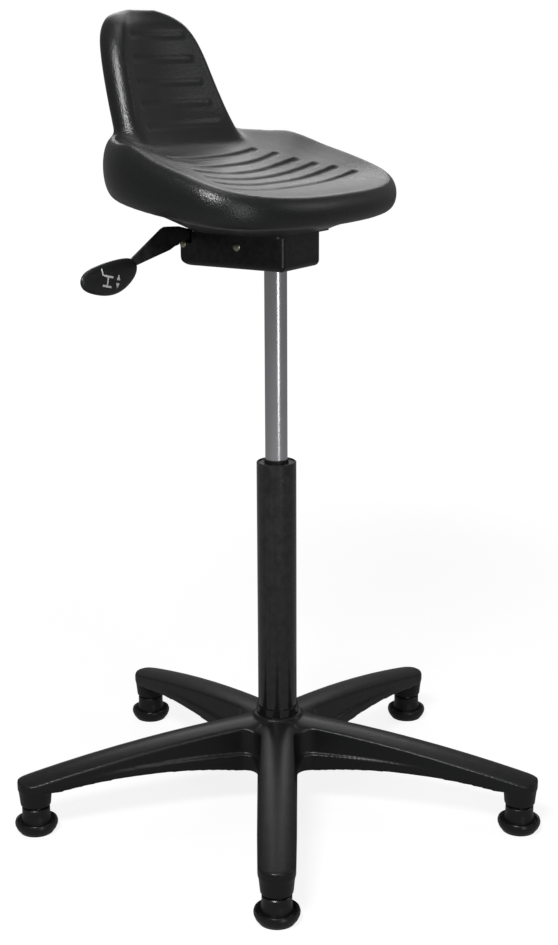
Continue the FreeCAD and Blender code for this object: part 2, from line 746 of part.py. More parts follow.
def belt_outline(circles):
    """Outline in X and Z that runs round (x, z, radius) circles like a belt, counter-clockwise."""
    count = len(circles)
    normals = []
    for i in range(count):
        x0, z0, r0 = circles[i]
        x1, z1, r1 = circles[(i + 1) % count]
        length = math.hypot(x1 - x0, z1 - z0)
        normals.append(math.atan2(z1 - z0, x1 - x0) - math.acos((r0 - r1) / length))
    edges = []
    for i in range(count):
        x, z, r = circles[i]
        start = normals[i - 1]
        sweep = (normals[i] - start) % (2 * math.pi)

        def on_circle(share, x=x, z=z, r=r, start=start, sweep=sweep):
            angle = start + sweep * share
            return V(x + r * math.cos(angle), 0, z + r * math.sin(angle))

        edges.append(Part.Arc(on_circle(0), on_circle(0.5), on_circle(1)).toShape())
        x1, z1, r1 = circles[(i + 1) % count]
        next_start = V(x1 + r1 * math.cos(normals[i]), 0, z1 + r1 * math.sin(normals[i]))
        edges.append(Part.LineSegment(on_circle(1), next_start).toShape())
    return Part.Wire(edges)


neck = (*beside(paddle_neck_reach, -paddle_neck_drop), paddle_neck_radius)
heel = (*beside(paddle_heel_reach, -paddle_heel_drop), paddle_belly_radius)
belly = (*beside(paddle_belly_reach, -paddle_belly_drop), paddle_belly_radius)
tip = (*beside(paddle_tip_reach, -paddle_tip_drop), paddle_tip_radius)
paddle = Part.Face(belt_outline([neck, heel, belly, tip, belly, heel]))
paddle.translate(V(0, lever_y - paddle_thickness / 2, 0))
paddle = paddle.extrude(V(0, paddle_thickness, 0))
paddle = paddle.makeFillet(paddle_edge_radius, [edge for edge in paddle.Edges if edge.BoundBox.YLength < 0.01])
shapes["lever_paddle"] = paddle.cut(outer_arm)


# Seat: one foam moulding with a board, a steel strap for the back and nuts inside
def signed_power(value, power):
    return math.copysign(abs(value) ** power, value)


def rim_point(t, grow):
    """Plan point of the seat's rim at parameter t, grown outwards by a distance."""
    c, s = math.cos(t), math.sin(t)
    roundness = seat_rear_roundness if s > 0 else seat_front_roundness
    reach = seat_rear_reach if s > 0 else seat_front_reach
    x = (seat_half_width + grow) * signed_power(c, 2 / roundness)
    y = seat_middle_y + (reach + grow) * signed_power(s, 2 / roundness)
    return x, y


def crest(x, y):
    """Height of the rim's crest."""
    sag = rim_droop * y * y + rim_side_drop * (x / seat_half_width) ** 2
    shoulder = rim_shoulder_rise * math.exp(-((y - rim_shoulder_y) / rim_shoulder_spread) ** 2)
    return plate_height + rim_rise + rim_slope * y - sag + shoulder


def pan_line(y):
    """Height of the pan on the seat's middle line."""
    return plate_height + pan_rise + pan_slope * y + pan_curve * y * y


ring_arcs = 12


def ring_wire(point):
    """Closed ring of arcs through points of a function of the angle."""
    points = [point(2 * math.pi * (k + 0.5) / (2 * ring_arcs)) for k in range(2 * ring_arcs)]
    edges = []
    for k in range(ring_arcs):
        a, b, c = points[2 * k], points[2 * k + 1], points[(2 * k + 2) % (2 * ring_arcs)]
        edges.append(Part.Arc(a, b, c).toShape())
    return Part.Wire(edges)


def pan_ring(share):
    """Ring on the pan, at a share of the way from its middle to the rim."""
    def point(t):
        rx, ry = rim_point(t, 0)
        x = rx * share
        y = pan_middle + (ry - pan_middle) * share
        if share < 0.2:
            return V(x, y, pan_line(pan_middle) + pan_slope * (y - pan_middle))
        return V(x, y, pan_line(y) + (crest(rx, ry) - pan_line(ry)) * share * share)
    return ring_wire(point)


def lip_bottom(y):
    return plate_height + lip_bottom_rise + lip_bottom_slope * y


def lip_ring(grow, share):
    """Ring on the rolled lip: share 0 is at the crest, 1 at the bottom."""
    def point(t):
        x, y = rim_point(t, 0)
        top = crest(x, y)
        gx, gy = rim_point(t, grow)
        return V(gx, gy, top + (lip_bottom(y) - top) * share)
    return ring_wire(point)


def pedestal_ring():
    """Ring round the flat part of the seat's underside, in the plane of the plate's top."""
    middle = (pedestal_front + pedestal_rear) / 2
    reach = (pedestal_rear - pedestal_front) / 2

    def point(t):
        x = pedestal_half_width * signed_power(math.cos(t), 0.5)
        y = middle + reach * signed_power(math.sin(t), 0.5)
        return V(x, y, plate_height + plate_thickness + foam_gap)
    return ring_wire(point)


pan_rings = [pan_ring(share) for share in (0.12, 0.45, 0.75, 0.93)]
lip_shares = ((0.0, 0.0), (0.55, 0.07), (0.9, 0.25), (1.0, 0.5), (0.75, 0.8), (0.2, 0.97))
lip_rings = [lip_ring(lip_bulge * bulge, share) for bulge, share in lip_shares]
under_rings = [lip_ring(-lip_tuck, 0.98), pedestal_ring()]
seat_body = Part.makeLoft(pan_rings + lip_rings + under_rings, True, True)

# Backrest sections: height over the plate, half width, front edge before or behind the seat's rear,
# thickness, hollow of the front
back_sections = [
    (60.0, 88.0, -91.0, 60.0, back_dish),
    (90.0, 94.0, -70.0, 50.0, back_dish),
    (112.0, 96.0, -52.5, 42.0, back_dish),
    (136.0, 93.0, -38.5, back_thickness, back_dish),
    (160.0, 87.0, -29.0, back_thickness, back_dish),
    (184.0, 82.0, -20.6, back_thickness, back_dish),
    (207.0, 76.5, -13.0, back_thickness, back_dish),
    (228.0, 68.0, -5.5, back_thickness, 10.0),
    (244.0, 57.5, 3.0, 32.5, 7.0),
    (255.0, 42.5, 13.5, 23.0, 4.0),
    (back_rise, 24.0, 20.0, 8.0, 1.5),
]


def back_wire(rise, half, behind, thickness, dish):
    """Level section of the back: a hollow front, a round back and rolled ends."""
    height = plate_height + rise
    front = seat_rear_y + behind
    roll = min(thickness * 0.42, 16.0)
    a, b = V(-half, front, height), V(half, front, height)
    c, d = V(half, front + thickness, height), V(-half, front + thickness, height)
    middle = front + thickness / 2
    return Part.Wire([
        Part.Arc(a, V(0, front + dish, height), b).toShape(),
        Part.Arc(b, V(half + roll, middle, height), c).toShape(),
        Part.Arc(c, V(0, front + thickness + dish, height), d).toShape(),
        Part.Arc(d, V(-half - roll, middle, height), a).toShape(),
    ])


back_body = Part.makeLoft([back_wire(*section) for section in back_sections], True, False)
seat_foam = seat_body.fuse(back_body)


groove_tool_radius = (groove_width ** 2 / 4 + groove_depth ** 2) / (2 * groove_depth)
stand_off = groove_tool_radius - groove_depth


def groove_cutter(low_end, middle, high_end, outward):
    """Round bar along an arc, standing off the surface so that only the groove's depth bites."""
    away = outward.normalize() * stand_off
    ends = (low_end + away, high_end + away)
    arc = Part.Arc(ends[0], middle + away, ends[1]).toShape()
    start = arc.valueAt(arc.FirstParameter)
    tangent = arc.tangentAt(arc.FirstParameter)
    circle = Part.Wire([Part.Circle(start, tangent, groove_tool_radius).toShape()])
    bar = Part.Wire([arc]).makePipeShell([circle], True, False)
    return bar.fuse([Part.makeSphere(groove_tool_radius, end) for end in ends])


def pan_surface(x, y):
    """Height of the pan at a plan position."""
    heading = math.atan2(y - pan_middle, x)
    low, high = heading - 1.3, heading + 1.3
    for _ in range(40):
        t = (low + high) / 2
        rx, ry = rim_point(t, 0)
        if rx * (y - pan_middle) > (ry - pan_middle) * x:
            low = t
        else:
            high = t
    share = math.hypot(x, y - pan_middle) / math.hypot(rx, ry - pan_middle)
    return pan_line(y) + (crest(rx, ry) - pan_line(ry)) * share * share


# Grooves: half length, then place along the pan or height over the plate
pan_grooves = ((95.0, 88.0), (105.0, 62.5), (115.0, 38.0), (126.0, 16.6), (139.0, -5.0), (147.0, -29.4))
back_grooves = ((58.0, 231.0), (64.0, 203.0), (70.0, 175.0), (76.0, 150.0), (82.0, 124.0))
near_middle = 0.001
for half, y in pan_grooves:
    end_height = pan_surface(half, y)
    middle = V(0, y, pan_surface(near_middle, y))
    slope = (pan_surface(near_middle, y + 1) - pan_surface(near_middle, y - 1)) / 2
    cutter = groove_cutter(V(-half, y, end_height), middle, V(half, y, end_height), V(0, -slope, 1))
    seat_foam = seat_foam.cut(cutter)
for half, rise in back_grooves:
    lower = max(section for section in back_sections if section[0] <= rise)
    upper = min(section for section in back_sections if section[0] > rise)
    share = (rise - lower[0]) / (upper[0] - lower[0])
    width, behind, dish = (lower[k] + (upper[k] - lower[k]) * share for k in (1, 2, 4))
    lean = (upper[2] - lower[2]) / (upper[0] - lower[0])
    z = plate_height + rise
    front = seat_rear_y + behind
    end_y = front + dish * (1 - (half / width) ** 2)
    cutter = groove_cutter(V(-half, end_y, z), V(0, front + dish, z), V(half, end_y, z), V(0, -1, lean))
    seat_foam = seat_foam.cut(cutter)

board_half_width = pedestal_half_width - board_inset
board = box(
    -board_half_width, board_half_width, pedestal_front + board_inset, pedestal_rear - board_inset,
    board_bottom, board_top)
board = board.makeFillet(board_corner_radius, upright_edges(board))


def strap_outline():
    """Side view of the strap: flat on the board, then bent up into the back."""
    base_plane = board_top
    start = V(0, strap_start, base_plane)
    flat_end = V(0, plate_rear + strap_bend_past_plate, base_plane)
    local_top = V(0, seat_rear_y + strap_top_past_rear, strap_top_rise)
    rise = (local_top - flat_end).normalize()
    along = V(0, 1, 0)
    turn = math.acos(rise.dot(along))
    setback = strap_bend_radius * math.tan(turn / 2)
    first = flat_end - along * setback
    last = flat_end + rise * setback
    inward = V(0, 0, 1)
    centre = first + inward * strap_bend_radius
    middle_way = (flat_end - centre).normalize()
    middle = centre + middle_way * strap_bend_radius
    normal_rise = V(0, -rise.z, rise.y)
    up = inward * strap_thickness
    side = normal_rise * strap_thickness
    inner_radius = strap_bend_radius - strap_thickness
    return Part.Wire([
        Part.LineSegment(start, first).toShape(),
        Part.Arc(first, middle, last).toShape(),
        Part.LineSegment(last, local_top).toShape(),
        Part.LineSegment(local_top, local_top + side).toShape(),
        Part.LineSegment(local_top + side, last + side).toShape(),
        Part.Arc(last + side, centre + middle_way * inner_radius, first + up).toShape(),
        Part.LineSegment(first + up, start + up).toShape(),
        Part.LineSegment(start + up, start).toShape(),
    ])


strap = Part.Face(strap_outline())
strap.translate(V(-strap_half_width, 0, 0))
strap = strap.extrude(V(2 * strap_half_width, 0, 0))
rivet_places = [(side * rivet_side, y) for side in (-1, 1) for y in rivet_rows]
rivet_bottom = board_bottom + 1.0
strap_top = board_top + strap_thickness


def at_rivets(shape):
    return Part.makeCompound([shape.translated(V(x, y, 0)) for x, y in rivet_places])


rivet_shank = disc(rivet_radius, rivet_bottom, strap_top)
rivet_head = disc(rivet_radius + rivet_head_step, strap_top, strap_top + rivet_head_height)
rivets = at_rivets(rivet_shank.fuse(rivet_head))
strap = strap.cut(rivets)
screw_bore = screw_radius + screw_bore_clearance
board = board.cut(rivets).cut(tee_nuts).cut(at_screws(disc(screw_bore, 0, board_top)))
shapes["seat_board"] = on_plate(board)
shapes["back_strap"] = on_plate(strap)
shapes["strap_rivets"] = on_plate(rivets)

for inner in ("seat_board", "back_strap", "strap_rivets", "tee_nuts"):
    seat_foam = seat_foam.cut(shapes[inner])
screw_hollows = at_screws(disc(screw_bore, board_bottom, tee_nut_top))
rivet_hollows = at_rivets(disc(rivet_radius, board_bottom, rivet_bottom))
shapes["seat_foam"] = seat_foam.cut(on_plate(screw_hollows)).cut(on_plate(rivet_hollows))

os.makedirs("parts", exist_ok=True)
for name, shape in shapes.items():
    shape.exportStep(f"parts/{name}.step")
    state = "valid" if shape.isValid() else "NOT VALID"
    print(name, len(shape.Solids), "solids", round(shape.Volume / 1000, 2), "cm3", state)
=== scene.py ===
# %% [markdown]
# # A perch stool, dressed
# The frame holds every solid of the stool at its real size, in metres, with its moving bodies. This script
# keeps those solids, gives each a finish made of shader nodes, and models again the pieces whose surface a
# plain solid can't show: the moulded star base, the soft seat and the lever's grip.

# %% Load the frame
import json
import math

import bmesh
import bpy
from mathutils import Matrix, Vector


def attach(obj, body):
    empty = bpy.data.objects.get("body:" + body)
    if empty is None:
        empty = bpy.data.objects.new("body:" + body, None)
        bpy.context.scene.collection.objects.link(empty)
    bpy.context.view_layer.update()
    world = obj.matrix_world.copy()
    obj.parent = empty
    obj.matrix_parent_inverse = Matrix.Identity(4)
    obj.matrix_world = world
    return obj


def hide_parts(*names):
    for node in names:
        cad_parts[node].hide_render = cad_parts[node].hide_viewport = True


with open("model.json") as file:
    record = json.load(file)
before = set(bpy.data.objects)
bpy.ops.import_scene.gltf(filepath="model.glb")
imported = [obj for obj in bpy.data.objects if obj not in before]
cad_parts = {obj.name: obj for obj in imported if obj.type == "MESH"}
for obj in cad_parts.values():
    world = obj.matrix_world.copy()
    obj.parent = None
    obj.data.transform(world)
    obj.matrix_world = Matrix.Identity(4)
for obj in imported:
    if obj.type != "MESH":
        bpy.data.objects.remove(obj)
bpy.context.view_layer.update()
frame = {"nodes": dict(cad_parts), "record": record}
nodes = frame["nodes"]

# %% [markdown]
# ## Camera
# The photograph was taken from the sitter's right and a little in front, from about a metre's height, looking
# slightly down. A camera placed by those same numbers shows the stool as the photograph does. Its roll is a
# quarter of a degree, and the shift moves the stool by two pixels.

# %% Place the camera
MM = 0.001
photo_height = 945
focal_pixels = 1626.4
shift_pixels = 2.52
sensor_width = 36
camera_heading = math.radians(57.5)
camera_distance = 1.9716
camera_height = 0.96105
camera_pitch = 0.25826
camera_roll = 0.00449

camera_data = bpy.data.cameras.new("camera")
camera_data.lens = focal_pixels / photo_height * sensor_width
camera_data.sensor_width = sensor_width
camera_data.shift_x = shift_pixels / photo_height
camera_data.clip_end = 60
camera = bpy.data.objects.new("camera", camera_data)
bpy.context.scene.collection.objects.link(camera)
camera_place = Vector((-camera_distance * math.sin(camera_heading), -camera_distance * math.cos(camera_heading),
                       camera_height))
turn = Matrix.Rotation(-camera_heading, 4, "Z") @ Matrix.Rotation(math.pi / 2 - camera_pitch, 4, "X")
camera.matrix_world = Matrix.Translation(camera_place) @ turn @ Matrix.Rotation(-camera_roll, 4, "Z")
bpy.context.scene.camera = camera
print("camera at", tuple(round(v, 3) for v in camera_place), "lens", round(camera_data.lens, 2))

# %% [markdown]
# ## Node helpers
# A node tree is easier to read when each node is made and wired in one line. `add` makes a node, sets its
# properties and its sockets, and wires whatever socket is given another node's output.


# %% Make and wire nodes
def add(tree, kind, values=(), **settings):
    """New node of a kind. A value may be a plain one or another node's output."""
    node = tree.nodes.new("ShaderNode" + kind)
    for key, value in settings.items():
        setattr(node, key, value)
    for key, value in dict(values).items():
        if isinstance(value, bpy.types.NodeSocket):
            tree.links.new(value, node.inputs[key])
        else:
            node.inputs[key].default_value = value
    return node


def math_node(tree, operation, a, b=0.0, clamp=False):
    return add(tree, "Math", {0: a, 1: b}, operation=operation, use_clamp=clamp).outputs[0]


def times(tree, a, b, clamp=False):
    return math_node(tree, "MULTIPLY", a, b, clamp)


def noise(tree, vector, scale, detail, roughness=0.5):
    """Cloudy noise, from 0 to 1."""
    node = add(tree, "TexNoise", {"Vector": vector, "Scale": scale, "Detail": detail, "Roughness": roughness})
    return node.outputs["Fac"]


def ramp(tree, value, stops):
    """A value led along straight lines through stops, each a place and a level."""
    node = add(tree, "ValToRGB", {"Fac": value})
    while len(node.color_ramp.elements) < len(stops):
        node.color_ramp.elements.new(0.5)
    for element, (place, level) in zip(node.color_ramp.elements, stops):
        element.position = place
        element.color = (level, level, level, 1)
    return node.outputs["Color"]


def new_group(name, inputs, outputs):
    """Empty node group with named number sockets. Inputs come with their starting values."""
    group = bpy.data.node_groups.new(name, "ShaderNodeTree")
    for label, value in inputs:
        socket = group.interface.new_socket(label, in_out="INPUT", socket_type="NodeSocketFloat")
        socket.default_value = value
    for label in outputs:
        group.interface.new_socket(label, in_out="OUTPUT", socket_type="NodeSocketFloat")
    return group, (group.nodes.new("NodeGroupInput"), group.nodes.new("NodeGroupOutput"))


def shown(tree, mirrored):
    """1 for what the camera sees itself, and a small share where a shiny surface mirrors it."""
    ray = add(tree, "LightPath")
    return add(tree, "Math", {0: ray.outputs["Is Glossy Ray"], 1: mirrored, 2: ray.outputs["Is Camera Ray"]},
               operation="MULTIPLY_ADD").outputs[0]


print("helpers ready")

# %% [markdown]
# ## Studio
# A black object on white is drawn by its highlights, so each lamp has one job. The key hangs above the camera's
# left: it draws the bright patch on the lip and the line down the back's edge. A strip that stands on the floor
# draws the line down the polished cylinder. A broad lamp low behind gives the pan its grey sheen, a small one
# above it lights the arms' upper faces, one on the right lifts the back's front face, and a weak one overhead
# fills. The world lights with little, so that black stays black, but shows plain white to the camera. Polished
# metal mirrors a share of that white.


# %% Lamps
def soft_lamp(name, where, aim, size, power):
    """Rectangular lamp that lights the stool and doesn't show itself."""
    data = bpy.data.lights.new(name, "AREA")
    data.shape = "RECTANGLE"
    data.size, data.size_y = size
    data.energy = power
    lamp = bpy.data.objects.new(name, data)
    bpy.context.scene.collection.objects.link(lamp)
    lamp.location = where
    lamp.visible_camera = False
    lamp.rotation_euler = (Vector(aim) - Vector(where)).to_track_quat("-Z", "Y").to_euler()


soft_lamp("key", (-1.75, -0.45, 2.15), (0, 0, 0.8), (0.7, 0.5), 46)
soft_lamp("floor_strip", (-1.07, -1.75, 0.85), (0, 0, 0.6), (0.35, 1.6), 7)
soft_lamp("sheen", (1.9, 1.25, 1.85), (0, 0, 0.75), (1.7, 0.8), 9)
soft_lamp("back_top", (1.3, 0.8, 2.6), (0, 0, 0.3), (1.2, 0.8), 5)
soft_lamp("right", (1.6, -1.9, 1.6), (0, 0, 0.4), (0.8, 1.0), 4)
soft_lamp("overhead", (0.0, -0.2, 3.0), (0, 0, 0.0), (1.0, 1.0), 6)

# %% World
white = (1, 1, 1, 1)
room_level = 0.05
room_mirrored = 0.09

world = bpy.data.worlds.new("world")
bpy.context.scene.world = world
world.use_nodes = True
tree = world.node_tree
tree.nodes.clear()
dim = add(tree, "Background", {"Color": white, "Strength": room_level})
bright = add(tree, "Background", {"Color": white, "Strength": 1.0})
mix = add(tree, "MixShader", {"Fac": shown(tree, room_mirrored), 1: dim.outputs["Background"],
                              2: bright.outputs["Background"]})
add(tree, "OutputWorld", {"Surface": mix.outputs["Shader"]})
bpy.context.scene.view_settings.view_transform = "Standard"
print("world set, view:", bpy.context.scene.view_settings.view_transform)

# %% [markdown]
# ## Floor
# White paper that runs out under the stool. It is matt, and it also glows, as paper lit from its far side
# does: a little less under the stool, where the lamps bring it to white and the stool's shadow still shows, and
# fully with distance, where the lamps don't reach, so that it meets the white background without a line.

# %% Lay the floor
floor_half = 14.0
paper_grey = (0.22, 0.22, 0.22, 1)
glow_from = {"From Min": 0.3, "To Min": 0.86}
glow_to = {"From Max": 3.2, "To Max": 1.0}
floor_mirrored = 0.12

corners = [(-floor_half, -floor_half, 0), (floor_half, -floor_half, 0), (floor_half, floor_half, 0),
           (-floor_half, floor_half, 0)]
floor_mesh = bpy.data.meshes.new("floor")
floor_mesh.from_pydata(corners, [], [(0, 1, 2, 3)])
floor = bpy.data.objects.new("floor", floor_mesh)
bpy.context.scene.collection.objects.link(floor)
paper = bpy.data.materials.new("paper_floor")
paper.use_nodes = True
tree = paper.node_tree
tree.nodes.clear()
matt = add(tree, "BsdfDiffuse", {"Color": paper_grey})
distance = add(tree, "VectorMath", {0: add(tree, "TexCoord").outputs["Object"]}, operation="LENGTH")
glow_level = add(tree, "MapRange", {"Value": distance.outputs["Value"], **glow_from, **glow_to},
                 interpolation_type="SMOOTHSTEP")
seen_glow = times(tree, glow_level.outputs["Result"], shown(tree, floor_mirrored))
glow = add(tree, "Emission", {"Color": white, "Strength": seen_glow})
paper_shader = add(tree, "AddShader", {0: matt.outputs["BSDF"], 1: glow.outputs["Emission"]})
add(tree, "OutputMaterial", {"Surface": paper_shader.outputs["Shader"]})
floor_mesh.materials.append(paper)
print("floor laid")

# %% [markdown]
# ## Shared effects
# Moulded grain: the skin of a moulding carries fine pebbles, about a millimetre or less, with broad patches
# where the tool was polished more. Handling wear: raised edges are rubbed smoother and a little paler. Dust:
# a faint grey veil on what faces up. Each is a group that gives out numbers that change over the surface.

# %% Grain group
grain_group, (grain_in, grain_out) = new_group(
    "moulded_grain", [("Pebble size", 900.0), ("Patch size", 9.0)], ["Height", "Patch", "Speck"])
tree = grain_group
pebble_size = grain_in.outputs["Pebble size"]
at = add(tree, "TexCoord").outputs["Object"]
pebble = add(tree, "TexVoronoi", {"Vector": at, "Scale": pebble_size}, feature="SMOOTH_F1")
pebble.inputs["Smoothness"].default_value = 0.6
fine = noise(tree, at, times(tree, pebble_size, 1.7), 3.0, 0.6)
height = math_node(tree, "ADD", times(tree, pebble.outputs["Distance"], 0.7), times(tree, fine, 0.5))
tree.links.new(height, grain_out.inputs["Height"])
tree.links.new(noise(tree, at, grain_in.outputs["Patch size"], 4.0, 0.55), grain_out.inputs["Patch"])
tree.links.new(ramp(tree, fine, ((0.45, 0.0), (0.68, 1.0))), grain_out.inputs["Speck"])
print("group:", grain_group.name)

# %% Edge wear and dust group
wear_group, (wear_in, wear_out) = new_group(
    "wear_and_dust", [("Edge width", 0.06), ("Scratch scale", 60.0)], ["Edge", "Dust", "Scratch"])
tree = wear_group
edge_width = wear_in.outputs["Edge width"]
at = add(tree, "TexCoord").outputs["Object"]
surface = add(tree, "NewGeometry")
low = math_node(tree, "ADD", 0.5, times(tree, edge_width, 0.3))
raised = math_node(tree, "SUBTRACT", surface.outputs["Pointiness"], low)
edge = math_node(tree, "DIVIDE", raised, edge_width, clamp=True)
broken = noise(tree, at, wear_in.outputs["Scratch scale"], 5.0, 0.65)
edge = times(tree, edge, ramp(tree, broken, ((0.35, 0.1), (0.6, 1.0))))
up = add(tree, "SeparateXYZ", {"Vector": surface.outputs["Normal"]}).outputs["Z"]
settled = ramp(tree, noise(tree, at, 22.0, 6.0, 0.7), ((0.4, 0.15), (0.75, 1.0)))
dust = times(tree, times(tree, times(tree, up, up, clamp=True), settled), math_node(tree, "GREATER_THAN", up, 0.0))
stretched = add(tree, "Mapping", {"Vector": at, "Scale": (900.0, 60.0, 300.0)}).outputs["Vector"]
scratch = ramp(tree, noise(tree, stretched, 1.0, 2.0), ((0.62, 0.0), (0.75, 1.0)))
tree.links.new(edge, wear_out.inputs["Edge"])
tree.links.new(dust, wear_out.inputs["Dust"])
tree.links.new(scratch, wear_out.inputs["Scratch"])
print("group:", wear_group.name)

# %% [markdown]
# ## Finishes
# Every finish starts from one Principled shader. Plastics, paint and rubber differ in how dark they are, how
# large their grain is and how they shine; the metals differ in their streaks. The solids come with plain
# materials of the same names, which are renamed to make way.

# %% Material starter
dust_colour = (0.30, 0.29, 0.27)
finishes = {}
for plain in bpy.data.materials:
    plain.name = "plain_" + plain.name


def start_material(name):
    """New material with a Principled shader, kept in the list of finishes."""
    material = bpy.data.materials.new(name)
    finishes[name] = material
    material.use_nodes = True
    tree = material.node_tree
    tree.nodes.clear()
    shader = add(tree, "BsdfPrincipled")
    add(tree, "OutputMaterial", {"Surface": shader.outputs["BSDF"]})
    return tree, shader


def mixed_colour(tree, factor, a, b):
    """Colour between a and b."""
    node = add(tree, "Mix", data_type="RGBA")
    for socket, value in ((node.inputs["Factor"], factor), (node.inputs[6], a), (node.inputs[7], b)):
        if isinstance(value, bpy.types.NodeSocket):
            tree.links.new(value, socket)
        else:
            socket.default_value = value if isinstance(value, float) else (*value, 1)
    return node.outputs[2]


def around(tree, middle, value, spread):
    """A value that lies between 0 and 1, moved and scaled to lie about a middle."""
    return math_node(tree, "ADD", middle, times(tree, math_node(tree, "SUBTRACT", value, 0.5), spread))


def wire(tree, shader, body, rough, height, bump, depth, **constants):
    """Joins colour, roughness and bump to the shader, and sets its constant sockets."""
    tree.links.new(body, shader.inputs["Base Color"])
    tree.links.new(rough, shader.inputs["Roughness"])
    bump_node = add(tree, "Bump", {"Height": height, "Strength": bump, "Distance": depth})
    tree.links.new(bump_node.outputs["Normal"], shader.inputs["Normal"])
    for label, value in constants.items():
        shader.inputs[label.replace("_", " ")].default_value = value


print("starter ready")


# %% Plastics, rubber and seat skin
def moulded(name, colour, patch_colour, roughness, spread, pebbles, bump, dust_level=0.25, edge_level=0.5,
            shine=0.5, sheen=0.0):
    """Grained plastic, rubber or foam skin: dark body, paler specks, rubbed edges, a veil of dust."""
    tree, shader = start_material(name)
    grain = add(tree, "Group", {"Pebble size": pebbles, "Patch size": 9.0}, node_tree=grain_group)
    wear = add(tree, "Group", {"Edge width": 0.08, "Scratch scale": 60.0}, node_tree=wear_group)
    pale = tuple(c * 2.2 + 0.01 for c in patch_colour)
    body = mixed_colour(tree, grain.outputs["Patch"], colour, patch_colour)
    body = mixed_colour(tree, times(tree, grain.outputs["Speck"], 0.25), body, pale)
    body = mixed_colour(tree, times(tree, wear.outputs["Edge"], edge_level * 0.5), body, pale)
    body = mixed_colour(tree, times(tree, wear.outputs["Dust"], dust_level * 0.2), body, dust_colour)
    rough = around(tree, roughness, grain.outputs["Patch"], spread)
    rough = math_node(tree, "SUBTRACT", rough, times(tree, wear.outputs["Edge"], 0.08))
    wire(tree, shader, body, rough, grain.outputs["Height"], bump, 0.0006,
         Specular_IOR_Level=shine, Sheen_Weight=sheen, Sheen_Roughness=0.4)


moulded("base_plastic", (0.0062, 0.0064, 0.0070), (0.0105, 0.0108, 0.0115), 0.33, 0.12, 1300.0, 0.12,
        dust_level=0.10, edge_level=0.9, shine=0.34)
moulded("glide_plastic", (0.0055, 0.0057, 0.0060), (0.0090, 0.0092, 0.0096), 0.30, 0.12, 1300.0, 0.08,
        dust_level=0.10, shine=0.40)
moulded("trim_plastic", (0.004, 0.004, 0.0045), (0.006, 0.006, 0.0065), 0.16, 0.06, 1600.0, 0.03)
moulded("bush_plastic", (0.007, 0.007, 0.0075), (0.010, 0.010, 0.0105), 0.30, 0.10, 1600.0, 0.05)
moulded("sole_rubber", (0.020, 0.020, 0.021), (0.030, 0.030, 0.031), 0.75, 0.10, 1500.0, 0.15)
moulded("buffer_rubber", (0.012, 0.012, 0.012), (0.018, 0.018, 0.018), 0.65, 0.10, 1500.0, 0.1)
moulded("paddle_plastic", (0.0075, 0.0080, 0.0085), (0.0120, 0.0125, 0.0135), 0.34, 0.12, 1500.0, 0.08)
moulded("seat_skin", (0.0060, 0.0064, 0.0068), (0.0100, 0.0105, 0.0108), 0.29, 0.10, 560.0, 0.58,
        dust_level=0.35, edge_level=0.25, sheen=0.05)
print("moulded finishes:", sorted(finishes))


# %% Paint
def painted(name, colour, roughness, peel, coat):
    """Powder-coated or enamelled steel: faint orange peel, rubbed edges, fine scratches."""
    tree, shader = start_material(name)
    grain = add(tree, "Group", {"Pebble size": 420.0, "Patch size": 14.0}, node_tree=grain_group)
    wear = add(tree, "Group", {"Edge width": 0.05, "Scratch scale": 110.0}, node_tree=wear_group)
    body = mixed_colour(tree, grain.outputs["Patch"], colour, tuple(c * 1.5 for c in colour))
    body = mixed_colour(tree, times(tree, wear.outputs["Edge"], 0.25), body, (0.10, 0.10, 0.10))
    body = mixed_colour(tree, times(tree, wear.outputs["Dust"], 0.06), body, dust_colour)
    rough = math_node(tree, "ADD", roughness, times(tree, grain.outputs["Patch"], 0.08))
    rough = math_node(tree, "ADD", rough, times(tree, wear.outputs["Scratch"], 0.06))
    wire(tree, shader, body, rough, grain.outputs["Height"], peel, 0.0005, Coat_Weight=coat, Coat_Roughness=0.12)


painted("tube_paint", (0.0036, 0.0038, 0.0038), 0.13, 0.02, 0.3)
painted("housing_paint", (0.0028, 0.0030, 0.0032), 0.26, 0.05, 0.0)
painted("lever_paint", (0.0050, 0.0052, 0.0056), 0.30, 0.06, 0.1)
print("paint finishes made")


# %% Metals
def metal(name, colour, roughness, streak_scale, streak, bump):
    """Bare or plated steel and brass: streaks along the way it was ground or turned."""
    tree, shader = start_material(name)
    at = add(tree, "TexCoord").outputs["Object"]
    stretched = add(tree, "Mapping", {"Vector": at, "Scale": streak_scale}).outputs["Vector"]
    lines = noise(tree, stretched, 1.0, 4.0, 0.6)
    body = mixed_colour(tree, noise(tree, at, 30.0, 3.0), colour, tuple(c * 0.85 for c in colour))
    wire(tree, shader, body, around(tree, roughness, lines, streak), lines, bump, 0.0003, Metallic=1.0)


metal("cylinder_steel", (0.80, 0.80, 0.83), 0.24, (30.0, 30.0, 1400.0), 0.10, 0.03)
metal("plain_steel", (0.56, 0.56, 0.57), 0.34, (500.0, 500.0, 80.0), 0.15, 0.08)
metal("zinc_pin", (0.42, 0.40, 0.29), 0.38, (300.0, 300.0, 300.0), 0.15, 0.08)
metal("valve_brass", (0.72, 0.55, 0.25), 0.30, (80.0, 80.0, 900.0), 0.15, 0.08)
print("metal finishes made")


